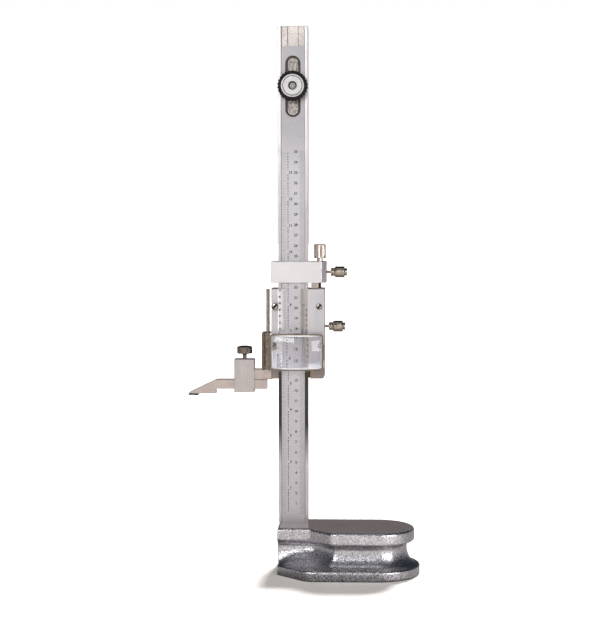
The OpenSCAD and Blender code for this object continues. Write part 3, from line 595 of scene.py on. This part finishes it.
def engrave_text(bm, place, sizes, words, height, right, up):
    """Adds numerals whose middle stands at a place on a surface."""
    curve = bpy.data.curves.new("numeral", "FONT")
    curve.body = words
    curve.size = height * FONT_SIZE
    curve.resolution_u = 2
    curve.align_x = "CENTER"
    curve.extrude = (sizes.mark_sunk + sizes.mark_proud) / 2
    curve.offset = height * FONT_WEIGHT
    writer = linked("numeral", curve)
    shaped = writer.evaluated_get(bpy.context.evaluated_depsgraph_get())
    mesh = bpy.data.meshes.new_from_object(shaped)
    middle = (sizes.mark_proud - sizes.mark_sunk) / 2
    mesh.transform(place @ Matrix.Translation((right, up - height / 2, middle)))
    bm.from_mesh(mesh)
    bpy.data.objects.remove(writer)
    bpy.data.curves.remove(curve)
    bpy.data.meshes.remove(mesh)


SCALE_ZERO = 14.8 * MM
LAST_MILLIMETRE = 350
LAST_TWENTIETH = 275


class MainScale(bpy.types.Operator):
    """Round the scale's edges, blacken its slot's step and engrave both rulings"""

    bl_idname = "height_gauge.main_scale"
    bl_label = "Main Scale"
    SLOT_ZONE = (70 * MM, 5 * MM)
    SLOT_HALF = 7.35 * MM
    MARGIN = 0.25 * MM
    MILLIMETRE_LINES = (6.4 * MM, 5.7 * MM, 4.4 * MM)
    INCH_LINES = (4.6 * MM, 3.4 * MM)
    CENTIMETRES_AT = 2.6 * MM
    INCHES_AT = -2.5 * MM
    TENTHS_AT = -4.9 * MM

    def execute(self, context):
        sizes = context.scene.gauge_sizes
        low, high = corners("main_scale")
        bm = cad_copy("main_scale")
        soften(bm, 0.12 * MM)
        for face in bm.faces:
            centre = face.calc_center_median()
            beside = self.SLOT_ZONE[1] < high.z - centre.z < self.SLOT_ZONE[0]
            sunk = low.y + 0.3 * MM < centre.y < high.y - 0.1 * MM
            face.material_index = int(beside and sunk and abs(centre.x) < self.SLOT_HALF)
        flatten_shading(piece(bm, "scale_strip", "scale", ["scale", "oxide"],
                              ["main_scale"]))
        place = Matrix.Translation((0, low.y, low.z + SCALE_ZERO)) @ FRONT
        self.rulings(place, sizes, high.x)
        return {"FINISHED"}

    def rulings(self, place, sizes, side):
        """Engraves millimetres at the right and inches at the left."""
        reach = side - self.MARGIN
        lines = []
        long, middle, short = self.MILLIMETRE_LINES
        for i in range(LAST_MILLIMETRE + 1):
            length = long if i % 10 == 0 else middle if i % 5 == 0 else short
            lines.append((reach - length, reach, i * MM))
        for i in range(LAST_TWENTIETH + 1):
            length = self.INCH_LINES[i % 2]
            lines.append((-reach, -reach + length, i * INCH / 20))
        marks = bmesh.new()
        engrave_lines(marks, place, sizes, lines)
        for i in range(1, LAST_MILLIMETRE // 10 + 1):
            engrave_text(marks, place, sizes, str(i), sizes.numeral, self.CENTIMETRES_AT,
                         i * 10 * MM)
        for i in range(1, LAST_TWENTIETH // 2 + 1):
            inches, tenths = divmod(i, 10)
            words = (str(tenths), sizes.small_numeral, self.TENTHS_AT)
            if not tenths:
                words = (str(inches), sizes.numeral, self.INCHES_AT)
            engrave_text(marks, place, sizes, *words, i * INCH / 10)
        piece(marks, "scale_rulings", "scale", ["filling"])


class ScaleClamp(bpy.types.Operator):
    """Mould the knob's scalloped ring and turn its cap and stud"""

    bl_idname = "height_gauge.scale_clamp"
    bl_label = "Scale Clamp"
    EYE = 4.2 * MM
    GROOVE = (8.8 * MM, 9.65 * MM)
    DOME = 1.9 * MM

    def execute(self, context):
        ring = cad_copy("scale_clamp_knob")
        soften(ring, 0.45 * MM, 50, 3)
        piece(ring, "knob_ring", "scale_clamp", ["moulded"], ["scale_clamp_knob"])
        cap = cad_copy("scale_clamp_cap")
        soften(cap, 0.12 * MM)
        middle = centre_of("scale_clamp_cap")
        # Painted shade in the cap's eye round the stud and in its groove.
        for face in cap.faces:
            reaches = [math.hypot(v.co.x - middle.x, v.co.z - middle.z) for v in face.verts]
            groove = self.GROOVE[0] < min(reaches) and max(reaches) < self.GROOVE[1]
            face.material_index = int(groove or max(reaches) < self.EYE)
        flatten_shading(piece(cap, "knob_cap", "scale_clamp",
                              ["turned", "oxide"], ["scale_clamp_cap"]))
        low, high = corners("scale_clamp_stud")
        radius = (high.x - low.x) / 2
        depth = high.y - low.y
        dome = self.DOME
        arcs = [math.radians(a) for a in range(0, 91, 15)]
        profile = [(0, 0), (radius, 0), (radius, depth - dome)]
        profile += [(dome * math.cos(a), depth - dome + dome * math.sin(a)) for a in arcs[:-1]]
        profile += [(0, depth)]
        stud = turned(profile, 48)
        place = Matrix.Translation((0, high.y, centre_of("scale_clamp_stud").z)) @ FRONT
        piece(stud, "knob_stud", "scale_clamp", ["turned"],
              ["scale_clamp_stud"], place=place)
        dress("scale_clamp_washer", "oxide")
        return {"FINISHED"}


class Carrier(bpy.types.Operator):
    """Round the carrier's edges and finish its gib"""

    bl_idname = "height_gauge.carrier"
    bl_label = "Carrier"

    def execute(self, context):
        bm = cad_copy("carrier_block")
        # The chamfer facing right and forward takes the darker plate chrome: partly a finer grain,
        # partly painted shade on the side turned from the light.
        for face in bm.faces:
            face.material_index = int(face.normal.x > 0.4 and face.normal.y < -0.4)
        soften(bm, context.scene.gauge_sizes.edge_round)
        flatten_shading(piece(bm, "carrier_housing", "carrier",
                              ["chrome", "plate"], ["carrier_block"]))
        dress("carrier_gib", "bronze")
        return {"FINISHED"}


class KnurledScrews(bpy.types.Operator):
    """Turn and knurl the fine screw, both lock screws and the scriber clamp's screw"""

    bl_idname = "height_gauge.knurled_screws"
    bl_label = "Knurled Screws"

    def execute(self, context):
        sizes = context.scene.gauge_sizes
        self.fine_screw(sizes)
        self.lock_screw("carrier_lock_screw", "carrier_lock", sizes)
        self.lock_screw("slider_lock_screw", "slider_lock", sizes)
        self.clamp_screw(sizes)
        dress("fine_screw_ring", "oxide")
        return {"FINISHED"}

    def fine_screw(self, sizes):
        """Threaded shaft, neck and a straight-knurled head with a rounded top."""
        low, high = corners("fine_screw")
        total = high.z - low.z
        radius = (high.x - low.x) / 2
        shaft = 1.5 * MM
        neck = 2.8 * MM
        head_low = total - 13.4 * MM
        neck_low = head_low - 3 * MM
        profile = [(0, 0), (shaft * 0.7, 0)]
        profile += [(shaft, z) for z in rows(0.4 * MM, neck_low, sizes.thread_pitch / 4)]
        profile += [(neck, neck_low), (neck, head_low), (radius * 0.8, head_low)]
        profile += knurled_side(radius, head_low, total, 0.9 * MM, 3 * MM)
        profile += [(radius * 0.5, total), (0, total)]
        bm = turned(profile, 128)
        cut_thread(bm, shaft, 0.4 * MM, neck_low - 1 * MM, sizes)
        cut_knurl(bm, radius, head_low + 0.8 * MM, total - 0.8 * MM, sizes, False)
        place = Matrix.Translation((*centre_of("fine_screw").xy, low.z))
        piece(bm, "fine_thumb_screw", "fine_adjuster", ["nickel"], ["fine_screw"], 25,
              place)

    def lock_screw(self, node, body, sizes):
        """Shaft, grooved collar, diamond-knurled head and end button, along the level axis."""
        low, high = corners(node)
        total = high.x - low.x
        radius = (high.z - low.z) / 2
        end_low = total - 2.4 * MM
        head_low = end_low - 9.4 * MM
        collar_low = head_low - 4 * MM
        shaft = 1.3 * MM
        collar = 3.9 * MM
        profile = [(0, 0), (shaft * 0.7, 0), (shaft, 0.4 * MM), (shaft, collar_low)]
        for foot in (collar_low, collar_low + 2 * MM):
            lower, upper = rounded_rim(collar, foot, foot + 2 * MM, 0.35 * MM)
            profile += lower + upper + [(collar * 0.86, foot + 2 * MM)]
        profile += knurled_side(radius, head_low, end_low, 1.1 * MM, 0.4 * MM)
        lower, upper = rounded_rim(3.8 * MM, end_low, total, 0.5 * MM)
        profile += [(3.3 * MM, end_low)] + upper + [(0, total)]
        bm = turned(profile, 112)
        cut_knurl(bm, radius, head_low + 0.6 * MM, end_low - 0.6 * MM, sizes, True)
        place = Matrix.Translation((low.x, *centre_of(node).yz))
        piece(bm, node.replace("_screw", "_knurled_screw"), body, ["screw"], [node], 25,
              place @ TO_RIGHT)

    def clamp_screw(self, sizes):
        """Dark screw with a knurled side and a crowned top."""
        low, high = corners("scriber_clamp_screw")
        total = high.z - low.z
        radius = (high.x - low.x) / 2
        shaft = 1.9 * MM
        head_low = total - 7.6 * MM
        crown = 0.8 * MM
        profile = [(0, 0), (shaft, 0), (shaft, head_low - 1.2 * MM), (radius * 0.45, head_low)]
        profile += knurled_side(radius, head_low, total - crown, 0.8 * MM, 2 * MM)
        for a in range(15, 91, 15):
            profile.append((0.85 * radius * math.cos(math.radians(a)),
                            total - crown + crown * math.sin(math.radians(a))))
        profile[-1] = (0, total)
        bm = turned(profile, 144)
        cut_knurl(bm, radius, head_low + 0.6 * MM, total - crown - 0.6 * MM, sizes, False)
        place = Matrix.Translation((*centre_of("scriber_clamp_screw").xy, low.z))
        piece(bm, "scriber_thumb_screw", "scriber_clamp_turner", ["gunmetal"],
              ["scriber_clamp_screw"], 25, place)


class Slider(bpy.types.Operator):
    """Round the slider's edges and finish its gib, tongue and rod"""

    bl_idname = "height_gauge.slider"
    bl_label = "Slider"
    KEYWAY_HALF = 0.25 * MM
    KEYWAY_DEPTH = 0.5 * MM

    def execute(self, context):
        sizes = context.scene.gauge_sizes
        bm = cad_copy("slider_body")
        soften(bm, sizes.edge_round)
        left = corners("vernier_plate_inch")[0].x
        # The body right of the jaw takes the darker steel as painted shade under the magnifier.
        for face in bm.faces:
            face.material_index = int(face.calc_center_median().x < left - 0.5 * MM)
        flatten_shading(piece(bm, "slider_housing", "slider", ["plain", "tool"],
                              ["slider_body"]))
        worked_block("guide_tongue", "guide_block", "slider", "nickel", sizes.fine_round)
        self.guide_rod(sizes)
        dress("slider_gib", "bronze")
        dress("gib_set_screws", "oxide")
        return {"FINISHED"}

    def guide_rod(self, sizes):
        """Round rod with a narrow keyway in front, which keeps the magnifier square."""
        middle = centre_of("magnifier_rod")
        bm = cad_copy("magnifier_rod")
        for vert in bm.verts:
            if abs(vert.co.x - middle.x) < self.KEYWAY_HALF and vert.co.y < middle.y:
                vert.co.y += self.KEYWAY_DEPTH
        # Painted shade on the keyway's walls.
        for face in bm.faces:
            centre = face.calc_center_median()
            cut = abs(centre.x - middle.x) < 0.4 * MM and centre.y < middle.y - self.KEYWAY_DEPTH
            face.material_index = int(cut and abs(face.normal.z) < 0.5)
        piece(bm, "guide_rod", "slider", ["rod", "oxide"], ["magnifier_rod"])


class Verniers(bpy.types.Operator):
    """Round the vernier plates, engrave their bevels and fit their screws"""

    bl_idname = "height_gauge.verniers"
    bl_label = "Vernier Plates"
    ZERO = 12 * MM
    PARTS = 50
    INCH_PART = 2.45 * INCH / 50
    METRIC_PART = 0.98 * MM
    PLATE_SIDE = 14.25
    BEVEL_ENDS = (8.95, 7.85)
    BEVEL_DEPTH = 3.5
    EDGE_GAP = 0.15 * MM
    INCH_LINES = (3.0 * MM, 2.2 * MM)
    METRIC_LINES = (4.4 * MM, 3.2 * MM)
    INDEX = (5.8 * MM, 0.12 * MM)
    CROWN = (0.75 * MM, 0.35 * MM)

    def execute(self, context):
        sizes = context.scene.gauge_sizes
        # The left bevel takes a painted highlight and the right bevel painted shade.
        for node, bevel in (("vernier_plate_inch", "bright"), ("vernier_plate_metric", "bevel")):
            bm = cad_copy(node)
            for face in bm.faces:
                face.material_index = int(face.normal.y < -0.3 and abs(face.normal.x) > 0.3)
            soften(bm, sizes.fine_round)
            flatten_shading(piece(bm, node.replace("plate", "scale"), "slider",
                                  ["plate", bevel], [node]))
        for node in ("left_plate_screws", "right_plate_screws"):
            self.slotted_screws(node, node.replace("plate", "slotted"))
        self.bevel_marks(sizes)
        return {"FINISHED"}

    def slotted_screws(self, node, name):
        """Heads with a raised bright crown, and painted shade round the rim and in the slot."""
        bm = cad_copy(node)
        front = corners(node)[0].y
        crowns = [face for face in bm.faces
                  if face.normal.y < -0.9 and face.calc_center_median().y < front + 0.05 * MM]
        thickness, depth = self.CROWN
        bmesh.ops.inset_region(bm, faces=crowns, thickness=thickness, depth=depth,
                               use_boundary=True, use_even_offset=True)
        # Painted shade round the rim and in the slot.
        for face in bm.faces:
            face.material_index = int(face not in crowns)
        piece(bm, name, "slider", ["nickel", "oxide"], [node])

    def bevel_marks(self, sizes):
        """Engraves 50 parts over 49 mm at the right and over 2.45 inches at the left."""
        low = corners("vernier_plate_inch")[0]
        zero = low.z + self.ZERO
        side = self.PLATE_SIDE * MM
        left_end, right_end = (end * MM for end in self.BEVEL_ENDS)
        back = low.y + self.BEVEL_DEPTH * MM
        left = surface_place((-side, low.y), (-left_end, back), zero)
        right = surface_place((right_end, back), (side, low.y), zero)
        edge = math.hypot(self.PLATE_SIDE - self.BEVEL_ENDS[0], self.BEVEL_DEPTH) * MM
        marks = bmesh.new()
        left_lines = []
        right_lines = []
        for i in range(self.PARTS + 1):
            fifth = i % 5 == 0
            up = i * self.INCH_PART
            start = edge - self.INCH_LINES[0 if fifth else 1]
            left_lines.append((start, edge - self.EDGE_GAP, up))
            if fifth:
                engrave_text(marks, left, sizes, str(i), 1.9 * MM, 1.7 * MM, up + 0.9 * MM)
            up = i * self.METRIC_PART
            right_lines.append((self.EDGE_GAP, self.METRIC_LINES[0 if fifth else 1], up))
            end, shift = self.INDEX
            if i == self.PARTS:
                right_lines += [(self.EDGE_GAP, end, up + shift), (self.EDGE_GAP, end, up - shift)]
            elif fifth:
                engrave_text(marks, right, sizes, str(i // 5), 2.0 * MM, end, up)
        engrave_lines(marks, left, sizes, left_lines)
        engrave_lines(marks, right, sizes, right_lines)
        piece(marks, "vernier_rulings", "slider", ["filling"])


def surface_place(start, end, height):
    """Matrix from a slanted upright face to the world: right along it, up, and out of it."""
    right = (Vector((*end, 0)) - Vector((*start, 0))).normalized()
    up = Vector((0, 0, 1))
    out = right.cross(up)
    turn = Matrix((right, up, out)).transposed().to_4x4()
    return Matrix.Translation((*start, height)) @ turn


class Magnifier(bpy.types.Operator):
    """Round the bracket's and frame's edges, and grind the lens"""

    bl_idname = "height_gauge.magnifier"
    bl_label = "Magnifier"

    def execute(self, context):
        sizes = context.scene.gauge_sizes
        worked_block("magnifier_frame", "lens_frame", "magnifier", "strip",
                     sizes.fine_round)
        worked_block("magnifier_bracket", "lens_bracket", "magnifier", "strip",
                     sizes.edge_round)
        dress("magnifier_spring", "nickel")
        self.lens()
        return {"FINISHED"}

    def lens(self):
        """A block of glass, flat behind and crowned in front."""
        low, high = corners("magnifier_lens")
        radius = 58 * MM
        corner = 2.1 * MM
        half = Vector(((high.x - low.x) / 2, (high.z - low.z) / 2))
        centre = centre_of("magnifier_lens") * Vector((1, 0, 1))
        bm = bmesh.new()
        bmesh.ops.create_grid(bm, x_segments=48, y_segments=34, size=1.0)
        for vert in bm.verts:
            flat = Vector((vert.co.x * half.x, vert.co.y * half.y))
            over = Vector((max(0, abs(flat.x) - half.x + corner),
                           max(0, abs(flat.y) - half.y + corner)))
            if over.length > corner:
                over *= 1 - corner / over.length
                flat.x -= math.copysign(over.x, flat.x)
                flat.y -= math.copysign(over.y, flat.y)
            fall = radius - math.sqrt(radius ** 2 - flat.length_squared)
            vert.co = (flat.x + centre.x, low.y + fall, flat.y + centre.z)
        rim = [edge for edge in bm.edges if edge.is_boundary]
        grown = bmesh.ops.extrude_edge_only(bm, edges=rim)["geom"]
        for vert in [item for item in grown if isinstance(item, bmesh.types.BMVert)]:
            vert.co.y = high.y
        bmesh.ops.contextual_create(bm, geom=[e for e in bm.edges if e.is_boundary])
        bmesh.ops.recalc_face_normals(bm, faces=bm.faces)
        for face in bm.faces:
            middle = face.calc_center_median() - centre
            edge = max(abs(middle.x) - half.x, abs(middle.z) - half.y) > -1 * MM
            face.material_index = int(edge and face.normal.y < 0.9)
        piece(bm, "lens", "magnifier", ["glass", "frosted"], ["magnifier_lens"], 30)


class Scriber(bpy.types.Operator):
    """Round the clamp box, the scriber and its hard tip"""

    bl_idname = "height_gauge.scriber"
    bl_label = "Scriber"

    def execute(self, context):
        sizes = context.scene.gauge_sizes
        worked_block("scriber_clamp_box", "clamp_box", "scriber_clamp", "box",
                     sizes.edge_round)
        worked_block("scriber_bar", "scriber_blade", "scriber", "tool",
                     sizes.fine_round)
        worked_block("scriber_tip", "scriber_point", "scriber", "carbide", 0.06 * MM)
        return {"FINISHED"}


class Stage(bpy.types.Operator):
    """Set up the camera, the soft lights and the pale floor"""

    bl_idname = "height_gauge.stage"
    bl_label = "Stage"
    EYE = Vector((0.070, -1.383, 0.3296))
    TARGET = Vector((0.035, -0.007, 0.2518))
    FOCAL = 83.1
    SHIFT = -0.05
    # Each lamp's name, bearing from the magnifier in degrees, size in metres and brightness.
    LAMPS = (("left window", (-28, 19.5), (1.75, 0.37), 8.2),
             ("right window", (39, 7.5), (1.0, 0.83), 6.3),
             ("ceiling panel", (0, 70), (1.3, 0.4), 1.8))
    LAMP_DISTANCE = 2.4
    # Front wall, ceiling and rear wall: each direction, where the change towards it starts and
    # ends, and the brightness before and after.
    WALLS = (((0, -1, 0), (0.2, 0.8, 0.13, 0.64)), ((0, 0, 1), (0.1, 0.45, 1.0, 0.28)),
             ((0, 1, 0), (0.3, 0.9, 1.0, 0.6)))
    SHADE_TINT = (0.0, 0.01, 0.022, 1.0)
    FLOOR_SIDE = 30.0
    FLOOR_GLOW = 0.12
    FLOOR_BOUNCE = ((0.2, -0.98, 0.0), (0.06, 0.18, 0.24, 0.5))
    SUN_ENERGY = 8.0
    SUN_RAY = (-0.33, -1.0, -0.72)

    def execute(self, context):
        data = bpy.data.cameras.new("camera")
        data.lens = self.FOCAL
        data.shift_x = self.SHIFT
        camera = linked("camera", data)
        camera.location = self.EYE
        camera.rotation_euler = (self.TARGET - self.EYE).to_track_quat("-Z", "Y").to_euler()
        context.scene.camera = camera
        context.scene.view_settings.view_transform = "Standard"
        self.world(context)
        self.floor(context)
        for lamp in self.LAMPS:
            self.lamp(*lamp)
        self.sun()
        return {"FINISHED"}

    def change_along(self, tree, place, heading, fade):
        """A value that changes softly along a direction."""
        along = add_node(tree, "VectorMath", {1: heading}, {0: place}, operation="DOT_PRODUCT")
        return add_node(tree, "MapRange", dict(zip(RANGE, fade)), {"Value": along.outputs["Value"]},
                        interpolation_type="SMOOTHSTEP").outputs[0]

    def world(self, context):
        """A white front wall, dim sides and a dark ceiling, before a white background."""
        world = bpy.data.worlds.new("studio")
        world.use_nodes = True
        tree = world.node_tree
        ray = add_node(tree, "TexCoord").outputs["Generated"]
        dim = None
        for heading, fade in self.WALLS:
            wall = self.change_along(tree, ray, heading, fade)
            dim = wall if dim is None else add_node(tree, "Math", links={0: dim, 1: wall},
                                                    operation="MULTIPLY").outputs[0]
        seen = add_node(tree, "LightPath").outputs["Is Camera Ray"]
        shown = add_node(tree, "Math", links={0: dim, 1: seen}, operation="MAXIMUM")
        tint = add_node(tree, "ValToRGB", links={"Fac": shown.outputs[0]})
        tint.color_ramp.elements[0].color = self.SHADE_TINT
        tree.links.new(tint.outputs["Color"], tree.nodes["Background"].inputs["Color"])
        context.scene.world = world

    def floor(self, context):
        """A wide pale floor, which gives less light back at the sides than it shows."""
        bm = bmesh.new()
        bmesh.ops.create_grid(bm, x_segments=1, y_segments=1, size=self.FLOOR_SIDE)
        mesh = mesh_from(bm, "floor")
        pale_tone = linear("fffaf5")
        material = surface("pale floor", pale_tone, 0.9, 0, metallic=0.0,
                           sockets=[("Specular IOR Level", 0.0),
                                    ("Emission Color", linear("f2e4da"))])
        tree = material.node_tree
        shader = tree.nodes["Principled BSDF"]
        place = add_node(tree, "TexCoord").outputs["Object"]
        before = self.change_along(tree, place, *self.FLOOR_BOUNCE)
        seen = add_node(tree, "LightPath").outputs["Is Camera Ray"]
        pale = add_node(tree, "Math", links={0: before, 1: seen}, operation="MAXIMUM")
        tone = add_node(tree, "VectorMath", {0: pale_tone[:3]},
                        {"Scale": pale.outputs[0]}, operation="SCALE")
        glow = add_node(tree, "Math", {1: self.FLOOR_GLOW}, {0: pale.outputs[0]},
                        operation="MULTIPLY")
        tree.links.new(tone.outputs[0], shader.inputs["Base Color"])
        tree.links.new(glow.outputs[0], shader.inputs["Emission Strength"])
        mesh.materials.append(material)
        linked("floor", mesh)

    def sun(self):
        """Broad light from above and behind, which lays the soft shadow before the base."""
        data = bpy.data.lights.new("sky light", "SUN")
        data.energy = self.SUN_ENERGY
        data.angle = math.radians(20)
        light = linked("sky light", data)
        light.rotation_euler = Vector(self.SUN_RAY).to_track_quat("-Z", "Y").to_euler()
        light.visible_glossy = False
        casters = bpy.data.collections.new("shadow casters")
        casters.objects.link(bpy.data.objects["cast_base"])
        light.light_linking.blocker_collection = casters

    def lamp(self, name, bearing, size, radiance):
        """A soft panel of a given brightness, seen from the magnifier at a bearing in degrees."""
        turn, lift = (math.radians(angle) for angle in bearing)
        ray = Vector((math.sin(turn) * math.cos(lift), -math.cos(turn) * math.cos(lift),
                      math.sin(lift)))
        data = bpy.data.lights.new(name, "AREA")
        data.shape = "RECTANGLE"
        data.size, data.size_y = size
        data.energy = radiance * math.pi * size[0] * size[1]
        light = linked(name, data)
        light.location = centre_of("magnifier_lens") + ray * self.LAMP_DISTANCE
        light.rotation_euler = (-ray).to_track_quat("-Z", "Y").to_euler()


OPERATORS = (CastBase, Column, MainScale, ScaleClamp, Carrier, KnurledScrews, Slider, Verniers,
             Magnifier, Scriber, Stage)


class HeightGaugePanel(bpy.types.Panel):
    """Sizes, colours and the making of each group of pieces"""

    bl_label = "Height Gauge"
    bl_idname = "VIEW3D_PT_height_gauge"
    bl_space_type = "VIEW_3D"
    bl_region_type = "UI"
    bl_category = "Height Gauge"

    def draw(self, context):
        layout = self.layout
        for group in (context.scene.gauge_sizes, context.scene.gauge_colours):
            box = layout.box()
            for name in group.bl_rna.properties.keys():
                if name not in {"rna_type", "name"}:
                    box.prop(group, name)
        for operator in OPERATORS:
            layout.operator(operator.bl_idname)


CLASSES = (HeightGaugeSizes, HeightGaugeColours, *OPERATORS, HeightGaugePanel)


def register():
    for item in CLASSES:
        bpy.utils.register_class(item)
    bpy.types.Scene.gauge_sizes = PointerProperty(type=HeightGaugeSizes)
    bpy.types.Scene.gauge_colours = PointerProperty(type=HeightGaugeColours)


def unregister():
    del bpy.types.Scene.gauge_colours
    del bpy.types.Scene.gauge_sizes
    for item in reversed(CLASSES):
        bpy.utils.unregister_class(item)


def main():
    register()
    for operator in OPERATORS:
        group, name = operator.bl_idname.split(".")
        getattr(getattr(bpy.ops, group), name)()


if __name__ == "__main__":
    main()
